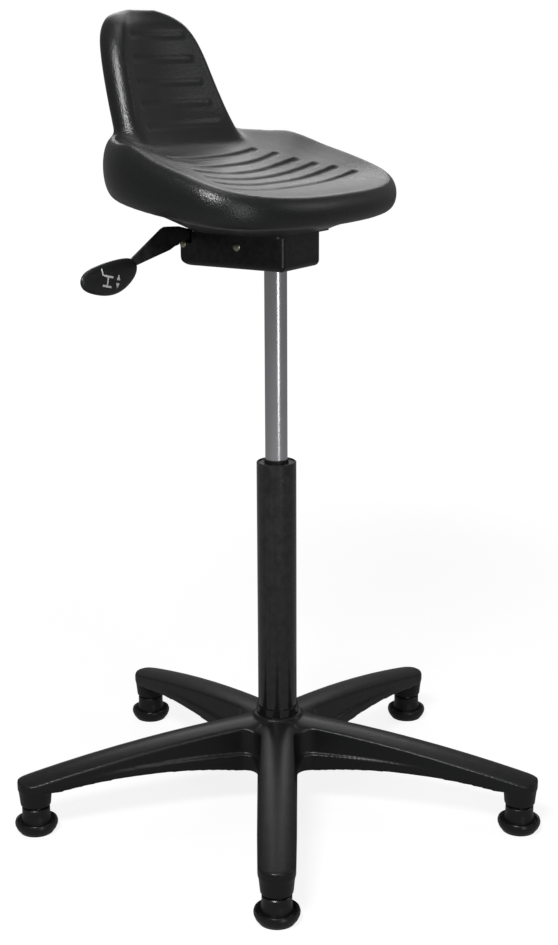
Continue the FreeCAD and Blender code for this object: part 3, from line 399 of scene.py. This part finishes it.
# %% Plywood
def plywood(name):
    """Birch plywood: long pale grain on the faces, dark and pale plies along the edge."""
    tree, shader = start_material(name)
    at = add(tree, "TexCoord").outputs["Object"]
    stretched = add(tree, "Mapping", {"Vector": at, "Scale": (14.0, 160.0, 160.0)}).outputs["Vector"]
    grain = noise(tree, stretched, 1.0, 6.0, 0.6)
    plies = add(tree, "TexWave", {"Vector": at, "Scale": 160.0, "Distortion": 0.6}, bands_direction="Z")
    body = mixed_colour(tree, grain, (0.62, 0.45, 0.28), (0.48, 0.33, 0.19))
    body = mixed_colour(tree, times(tree, plies.outputs["Fac"], 0.35), body, (0.36, 0.23, 0.13))
    rough = math_node(tree, "ADD", 0.55, times(tree, grain, 0.2))
    wire(tree, shader, body, rough, grain, 0.2, 0.0005)


plywood("board_wood")
print("all finishes:", len(finishes))

# %% [markdown]
# ## Finishes on the solids
# The record says which finish each solid has. The solids that keep their own shape get the material of that
# name; the pieces modelled again below take the same ones.

# %% Give every solid its finish
finish_of = {part["node"]: part["material_slot"] for part in frame["record"]["subparts"]}
for name, solid in nodes.items():
    solid.data.materials.clear()
    solid.data.materials.append(finishes[finish_of[name]])
print("finishes used:", sorted(set(finish_of.values())))

# %% [markdown]
# ## Re-meshing a moulding
# A moulded or pressed piece has no sharp edge: its ridges have a radius of a millimetre or two. Copying a
# solid, wrapping it in an even net of small squares and relaxing that net gives all edges such a radius at once.


# %% Rounded copy of a solid
def apply_modifiers(piece):
    """Replaces a piece's mesh by what its modifiers make of it."""
    bpy.context.view_layer.update()
    evaluated = piece.evaluated_get(bpy.context.evaluated_depsgraph_get())
    mesh = bpy.data.meshes.new_from_object(evaluated)
    piece.modifiers.clear()
    piece.data = mesh


def new_piece(name, mesh):
    piece = bpy.data.objects.new(name, mesh)
    bpy.context.scene.collection.objects.link(piece)
    return piece


def wrap(piece, net_size):
    """Adds a modifier that wraps a piece in an even net."""
    net = piece.modifiers.new("net", "REMESH")
    net.mode = "VOXEL"
    net.voxel_size = net_size


def relax(piece, passes, group=""):
    """Adds a modifier that evens out a piece's net, or the part of it in a group of points."""
    ease = piece.modifiers.new("relax", "SMOOTH")
    ease.factor = 0.5
    ease.iterations = passes
    ease.vertex_group = group


def dress(piece, material):
    """Shades a piece smoothly and gives it one material."""
    for polygon in piece.data.polygons:
        polygon.use_smooth = True
    piece.data.materials.clear()
    piece.data.materials.append(material)


def rounded_copy(node, name, net_size, passes, body):
    piece = new_piece(name, nodes[node].data.copy())
    wrap(piece, net_size)
    relax(piece, passes)
    apply_modifiers(piece)
    dress(piece, finishes[finish_of[node]])
    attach(piece, body)
    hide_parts(node)
    print(name, "faces:", len(piece.data.polygons))


base_net_size = 0.0016
base_passes = 5
rounded_copy("star_base", "star_base_moulding", base_net_size, base_passes, "base")

# %% [markdown]
# ## Seat
# Lengths are in millimetres from here on, and MM turns them into metres. The seat is one foam moulding with a
# tough grained skin: a dished pan whose rim rolls over into a thick lip, and a low back that grows out of the
# pan's rear. Rings of points give the form: from the pan's middle out to the rim's crest, round the lip and in
# below to the plate. Level rings give the back. Both are wrapped in one net and relaxed, most of all where the
# back meets the pan, and then the cross grooves are pressed in.

# %% Seat sizes
seat_half_width = 184.0
seat_middle_y = -13.0
seat_front_reach = 84.0
seat_rear_reach = 184.0
rim_height = 831.5
rim_slope = 0.3187
rim_droop = 0.00078
rim_side_drop = 9.8
rim_shoulder_rise = 7.0
rim_shoulder_y = 85.0
rim_shoulder_spread = 30.0
front_roundness = 2.3
rear_roundness = 2.62
lip_bulge = 14.5
lip_bottom_height = 767.5
lip_bottom_slope = 0.125
pan_middle = 20.0
pan_height = 801.0
pan_slope = 0.19
pan_curve = 0.0014
plate_top = 743.3
pedestal_half_width = 66.0
pedestal_half_depth = 64.5
pedestal_middle = 17.5
pedestal_squareness = 0.4
pedestal_overlap = 1.0


def signed_power(value, power):
    return math.copysign(abs(value) ** power, value)


def rim_point(t, grow):
    """Plan position on the rim's outline at an angle, moved outwards by grow."""
    c, s = math.cos(t), math.sin(t)
    roundness = rear_roundness if s > 0 else front_roundness
    reach = seat_rear_reach if s > 0 else seat_front_reach
    x = (seat_half_width + grow) * signed_power(c, 2 / roundness)
    return x, seat_middle_y + (reach + grow) * signed_power(s, 2 / roundness)


def crest(x, y):
    """Height of the rim's crest."""
    shoulder = rim_shoulder_rise * math.exp(-((y - rim_shoulder_y) / rim_shoulder_spread) ** 2)
    return rim_height + rim_slope * y - rim_droop * y * y - rim_side_drop * (x / seat_half_width) ** 2 + shoulder


def pan_line(y):
    """Height of the pan along the seat's middle."""
    return pan_height + pan_slope * y + pan_curve * y * y


def lip_bottom(y):
    return lip_bottom_height + lip_bottom_slope * y


print("rim at the front", round(crest(0, seat_middle_y - seat_front_reach), 1))


# %% Seat rings
ring_count = 144
pan_shares = (0.08, 0.2, 0.35, 0.5, 0.65, 0.78, 0.88, 0.95)
lip_steps = 14
lip_fullness = 0.85
lip_end = 0.985
under_inset = 12.0
# Each pedestal ring: how much wider than the pedestal it is, and how far above its foot.
pedestal_rings = ((1.12, 3.0), (1.03, 0.0))


def pan_point(t, share):
    rx, ry = rim_point(t, 0)
    x, y = rx * share, pan_middle + (ry - pan_middle) * share
    lift = share * share
    return x, y, pan_line(y) + (crest(rx, ry) - pan_line(ry)) * lift


def lip_point(t, grow, share):
    x, y = rim_point(t, 0)
    top = crest(x, y)
    gx, gy = rim_point(t, grow)
    return gx, gy, top + (lip_bottom(y) - top) * share


def pedestal_point(t, widen, lift):
    x = pedestal_half_width * widen * signed_power(math.cos(t), pedestal_squareness)
    y = pedestal_half_depth * widen * signed_power(math.sin(t), pedestal_squareness)
    return x, pedestal_middle + y, plate_top - pedestal_overlap + lift


def seat_rings():
    angles = [2 * math.pi * (k + 0.5) / ring_count for k in range(ring_count)]
    rings = [[pan_point(t, share) for t in angles] for share in pan_shares]
    for k in range(lip_steps + 1):
        turn = math.pi * (k / lip_steps)
        grow = lip_bulge * math.sin(turn) ** lip_fullness
        share = (0.5 - 0.5 * math.cos(turn)) * lip_end
        rings.append([lip_point(t, grow, share) for t in angles])
    rings.append([lip_point(t, -under_inset, 1.0) for t in angles])
    return rings + [[pedestal_point(t, widen, lift) for t in angles] for widen, lift in pedestal_rings]


def closed_stack(rings, name):
    """Closed mesh from a stack of rings with the same number of points."""
    mesh = bpy.data.meshes.new(name)
    net = bmesh.new()
    rows = [[net.verts.new((x * MM, y * MM, z * MM)) for x, y, z in ring] for ring in rings]
    count = len(rows[0])
    for low_row, high_row in zip(rows, rows[1:]):
        for i in range(count):
            j = (i + 1) % count
            net.faces.new((low_row[i], low_row[j], high_row[j], high_row[i]))
    net.faces.new(rows[0])
    net.faces.new(rows[-1][::-1])
    bmesh.ops.recalc_face_normals(net, faces=net.faces)
    net.to_mesh(mesh)
    net.free()
    return mesh


pan_mesh = closed_stack(seat_rings(), "pan")
print("pan net:", len(pan_mesh.vertices), "points")

# %% Back rings
back_foot, back_top = 800.0, 1001.0
side_steps, face_steps, back_levels, level_spread = 14, 40, 60, 0.9
roll_share, roll_most = 0.42, 16.0
# Each row: height, half width of the front face, its front at the middle, thickness, and how deep it is dished.
back_sections = (
    (800.0, 88.0, 80.0, 60.0, 12.0), (830.0, 94.0, 101.0, 50.0, 12.0), (852.0, 96.0, 118.5, 42.0, 12.0),
    (876.0, 93.0, 132.5, 37.0, 12.0), (900.0, 87.0, 142.0, 37.0, 12.0), (924.0, 82.0, 150.4, 37.0, 12.0),
    (947.0, 76.5, 158.0, 37.0, 12.0), (968.0, 68.0, 165.5, 37.0, 10.0), (984.0, 57.5, 174.0, 32.5, 7.0),
    (995.0, 42.5, 184.5, 23.0, 4.0), (1001.0, 24.0, 191.0, 8.0, 1.5))


def blend_row(rows, z):
    """Row of values at a height, on a smooth curve through the given rows."""
    for k in range(len(rows) - 1):
        if rows[k][0] <= z <= rows[k + 1][0]:
            a, b = rows[k], rows[k + 1]
            before, after = rows[max(k - 1, 0)], rows[min(k + 2, len(rows) - 1)]
            u = (z - a[0]) / (b[0] - a[0])
            values = []
            for i in range(1, len(a)):
                m0 = (b[i] - before[i]) / max(b[0] - before[0], 1e-6) * (b[0] - a[0])
                m1 = (after[i] - a[i]) / max(after[0] - a[0], 1e-6) * (b[0] - a[0])
                values.append(a[i] * (1 + 2 * u) * (1 - u) ** 2 + m0 * u * (1 - u) ** 2
                              + b[i] * u * u * (3 - 2 * u) + m1 * u * u * (u - 1))
            return values
    return list(rows[-1][1:])


def back_ring(z):
    half, front, thickness, dish = blend_row(back_sections, z)
    roll = min(thickness * roll_share, roll_most)
    points = []
    for k in range(face_steps):
        x = half * (2 * k / face_steps - 1)
        points.append((x, front + dish * (1 - (x / half) ** 2), z))
    for k in range(side_steps):
        turn = -math.pi / 2 + math.pi * k / side_steps
        points.append((half + roll * math.cos(turn), front + thickness / 2 + thickness / 2 * math.sin(turn), z))
    for k in range(face_steps):
        x = half * (1 - 2 * k / face_steps)
        points.append((x, front + thickness + dish * (1 - (x / half) ** 2), z))
    for k in range(side_steps):
        turn = math.pi / 2 - math.pi * k / side_steps
        points.append((-half - roll * math.cos(turn), front + thickness / 2 + thickness / 2 * math.sin(turn), z))
    return points


level_shares = [(k / back_levels) ** level_spread for k in range(back_levels + 1)]
back_mesh = closed_stack([back_ring(back_foot + (back_top - back_foot) * share) for share in level_shares], "back")
print("back net:", len(back_mesh.vertices), "points")

# %% Join, wrap and relax
net_size = 0.0022
joint_from_y, joint_height, joint_rise, above_pan = 60.0, 838.0, 34.0, 6.0
joint_y, joint_reach, joint_hold = 116.0, 62.0, 1.6
joint_passes, skin_passes = 90, 8

both = bmesh.new()
both.from_mesh(pan_mesh)
both.from_mesh(back_mesh)
seat_mesh = bpy.data.meshes.new("seat_moulding")
both.to_mesh(seat_mesh)
both.free()
seat = new_piece("seat_moulding", seat_mesh)
wrap(seat, net_size)
apply_modifiers(seat)


def near_joint(y, z):
    """How close a point is to the seam where the back grows out of the pan, from 0 to 1."""
    rise = max(0.0, 1 - abs(z - max(pan_line(y) + above_pan, joint_height)) / joint_rise)
    reach = max(0.0, 1 - abs(y - joint_y) / joint_reach)
    return min(1.0, joint_hold * rise * reach)


seam = seat.vertex_groups.new(name="joint")
for vertex in seat.data.vertices:
    x, y, z = vertex.co / MM
    weight = near_joint(y, z) if z > back_foot and y > joint_from_y else 0.0
    if weight > 0:
        seam.add([vertex.index], weight, "REPLACE")
relax(seat, joint_passes, "joint")
relax(seat, skin_passes)
apply_modifiers(seat)
print("seat net:", len(seat.data.vertices), "points")

# %% [markdown]
# ## Grooves
# The grooves are shallow channels, straight across the pan and the back, that fade out towards their ends.
# Each point of the net near a groove's line is pressed in along the surface, by a smooth rounded profile. The
# underside has a shallow hollow on each side as well, which leaves the lever room to swing up.

# %% Press the grooves
# Each groove: its half length and the line it follows.
pan_grooves = ((95.0, 88.0), (105.0, 62.5), (115.0, 38.0), (126.0, 16.6), (139.0, -5.0), (147.0, -29.4))
back_grooves = ((58.0, 971.0), (64.0, 943.0), (70.0, 915.0), (76.0, 890.0), (82.0, 864.0))
groove_half = 6.5
pan_groove_depth, pan_upward, pan_rear = 2.4, 0.5, 100.0
back_groove_depth, back_forward, back_from = 1.3, 0.45, 850.0
lever_room = 5.5
lever_middle, lever_half, lever_fade = 55.0, 50.0, 20.0
board_rear, board_fade = 86.0, 6.0
hollow_rear, hollow_fade = 136.0, 20.0
lip_underside, under_downward = 772.0, 0.2


def channel(across, along, half_length):
    """Share of the full depth at a distance across the groove and along it."""
    over = max(0.0, abs(along) - (half_length - groove_half)) / groove_half
    distance = math.hypot(across / groove_half, over)
    return 0.5 + 0.5 * math.cos(math.pi * distance) if distance < 1 else 0.0


def groove_depth(grooves, along, across):
    """Share of the full depth, the deepest of all grooves near a place."""
    return max([0.0] + [channel(across - line, along, half) for half, line in grooves
                        if abs(across - line) < groove_half and abs(along) < half])


def push_in(x, y, z, normal):
    """How far the skin is pressed in at a point, in millimetres."""
    if normal.z > pan_upward and y < pan_rear:
        return pan_groove_depth * groove_depth(pan_grooves, x, y)
    if normal.y < -back_forward and z > back_from:
        return back_groove_depth * groove_depth(back_grooves, x, z)
    if normal.z < -under_downward and z < lip_underside:
        beside = min(1.0, max(0.0, (lever_half - abs(abs(x) - lever_middle)) / lever_fade))
        behind = min(1.0, max(0.0, (y - board_rear) / board_fade), max(0.0, (hollow_rear - y) / hollow_fade))
        return lever_room * beside * behind
    return 0.0


seat.data.update()
normals = [vertex.normal.copy() for vertex in seat.data.vertices]
for vertex, normal in zip(seat.data.vertices, normals):
    vertex.co -= normal * push_in(*(vertex.co / MM), normal) * MM
dress(seat, finishes["seat_skin"])
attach(seat, "seat_lift")
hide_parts("seat_foam")
print("grooves pressed:", len(pan_grooves) + len(back_grooves))

# %% [markdown]
# ## Lever grip
# The grip is an egg-shaped plastic moulding pushed over the lever's end: its outline is a belt laid round four
# circles, and its faces are flat domes that roll over to the edge. The outline is walked once, and each ring
# of the mesh is that outline drawn in towards the middle.

# %% Model the grip
housing_side = -43.5
plate_height = 740.0
grip_y = 98.0
grip_half_thickness = 6.5
grip_dome_power = 3.2
# Each circle: its distance out from the housing's side, its drop below the plate, and its radius.
grip_circles = [(housing_side - reach, plate_height - drop, radius) for reach, drop, radius in (
    (117.5, 31.0, 12.5), (142.5, 38.0, 19.3), (159.5, 39.0, 19.3), (196.5, 37.0, 11.5))]
grip_middle = (-206.0, 701.5)
grip_shares = [0.06, 0.2, 0.35, 0.5, 0.62, 0.73, 0.82, 0.89, 0.94, 0.97, 0.99, 1.0]
outline_count = 112
easing_passes = 70
belt_steps = 720


def belt_points(circles, count):
    """Evenly spaced points (x, z) round a belt laid about circles."""
    hull = []
    for k in range(belt_steps):
        turn = 2 * math.pi * k / belt_steps
        c, sn = math.cos(turn), math.sin(turn)
        x, z, r = max(circles, key=lambda circle: circle[0] * c + circle[1] * sn + circle[2])
        hull.append((x + r * c, z + r * sn))
    lengths = [math.dist(hull[k], hull[(k + 1) % belt_steps]) for k in range(belt_steps)]
    step = sum(lengths) / count
    points, walked, k = [], 0.0, 0
    for i in range(count):
        while walked + lengths[k] < i * step:
            walked += lengths[k]
            k += 1
        share = (i * step - walked) / max(lengths[k], 1e-9)
        a, b = hull[k], hull[(k + 1) % belt_steps]
        points.append((a[0] + (b[0] - a[0]) * share, a[1] + (b[1] - a[1]) * share))
    return points


def eased(points, passes):
    """The same closed outline with its corners eased, stretched back to its first width and height."""
    soft = points
    for _ in range(passes):
        soft = [tuple((soft[k - 1][i] + 2 * soft[k][i] + soft[(k + 1) % len(soft)][i]) / 4 for i in (0, 1))
                for k in range(len(soft))]
    spans = []
    for i in (0, 1):
        old, new = [q[i] for q in points], [q[i] for q in soft]
        spans.append((min(new), (max(old) - min(old)) / (max(new) - min(new)), min(old)))
    return [tuple((q[i] - spans[i][0]) * spans[i][1] + spans[i][2] for i in (0, 1)) for q in soft]


def grip_dome(rho):
    """Half thickness of the grip at a share of the way from its middle to its edge."""
    return grip_half_thickness * (1 - rho ** grip_dome_power) ** 0.5


grip_outline = eased(belt_points(grip_circles, outline_count), easing_passes)
grip_rings = []
for side in (-1, 1):
    shares = grip_shares if side < 0 else grip_shares[-2::-1]
    for rho in shares:
        ring = []
        for x, z in grip_outline:
            gx = grip_middle[0] + (x - grip_middle[0]) * rho
            gz = grip_middle[1] + (z - grip_middle[1]) * rho
            ring.append((gx, grip_y + side * grip_dome(rho), gz))
        grip_rings.append(ring)
grip = new_piece("lever_grip", closed_stack(grip_rings, "lever_grip"))
dress(grip, finishes["paddle_plastic"])
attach(grip, "release_lever")
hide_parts("lever_paddle")
print("grip points:", len(grip.data.vertices))

# %% [markdown]
# ## Sign on the grip
# White marks printed on the grip's outer face say what the lever does. This sign is a plain one of its own: a
# stool from the side, made of bars, with one arrow up and one down. The marks are thin plates, cut fine enough
# to follow the dome of the face.

# %% Print the sign
sign_lift = 0.12
film_thickness = 0.1
sign_middle = (-209.5, 701.5)
sign_lean = math.radians(-14)
sign_scale = 1.12


def bar(x0, z0, x1, z1, width):
    """Corners of a straight bar between two points of the sign."""
    length = math.dist((x0, z0), (x1, z1))
    nx, nz = -(z1 - z0) / length * width / 2, (x1 - x0) / length * width / 2
    return [(x0 + nx, z0 + nz), (x0 - nx, z0 - nz), (x1 - nx, z1 - nz), (x1 + nx, z1 + nz)]


sign_marks = [
    bar(-9.0, 3.2, 7.0, 3.2, 2.0), bar(-9.6, 2.6, -11.6, 9.4, 1.8), bar(-1.0, 2.4, -1.0, -6.0, 1.8),
    bar(-8.0, -7.0, 6.0, -7.0, 2.0),
    [(13.0, 1.6), (19.0, 1.6), (16.0, 7.2)], [(13.0, -1.6), (16.0, -7.2), (19.0, -1.6)],
]


def grip_face(x, z):
    """Y of the grip's outer face at a place, found from how far that place is towards the edge."""
    heading = math.atan2(z - grip_middle[1], x - grip_middle[0])
    edge = min(grip_outline, key=lambda q: abs(math.remainder(
        math.atan2(q[1] - grip_middle[1], q[0] - grip_middle[0]) - heading, 2 * math.pi)))
    rho = min(1.0, math.dist((x, z), grip_middle) / math.dist(edge, grip_middle))
    return grip_y - grip_dome(rho)


sign_net = bmesh.new()
for mark in sign_marks:
    corners = []
    for u, v in mark:
        x = sign_middle[0] + sign_scale * (u * math.cos(sign_lean) - v * math.sin(sign_lean))
        z = sign_middle[1] + sign_scale * (u * math.sin(sign_lean) + v * math.cos(sign_lean))
        corners.append(sign_net.verts.new((x, 0.0, z)))
    sign_net.faces.new(corners)
bmesh.ops.triangulate(sign_net, faces=sign_net.faces)
bmesh.ops.subdivide_edges(sign_net, edges=sign_net.edges, cuts=5, use_grid_fill=True)
for vertex in sign_net.verts:
    x, z = vertex.co.x, vertex.co.z
    vertex.co = Vector((x, grip_face(x, z) - sign_lift, z)) * MM
sign_mesh = bpy.data.meshes.new("grip_sign")
sign_net.to_mesh(sign_mesh)
sign_net.free()
sign = new_piece("grip_sign", sign_mesh)
film = sign.modifiers.new("film", "SOLIDIFY")
film.thickness = film_thickness * MM
film.offset = 0.0
apply_modifiers(sign)
tree, shader = start_material("sign_white")
grain = add(tree, "Group", {"Pebble size": 1500.0, "Patch size": 120.0}, node_tree=grain_group)
ink = mixed_colour(tree, grain.outputs["Patch"], (0.80, 0.80, 0.78), (0.66, 0.66, 0.64))
ink_rough = math_node(tree, "ADD", 0.45, times(tree, grain.outputs["Patch"], 0.2))
tree.links.new(ink, shader.inputs["Base Color"])
tree.links.new(ink_rough, shader.inputs["Roughness"])
sign.data.materials.append(finishes["sign_white"])
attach(sign, "release_lever")
print("sign marks:", len(sign_marks))
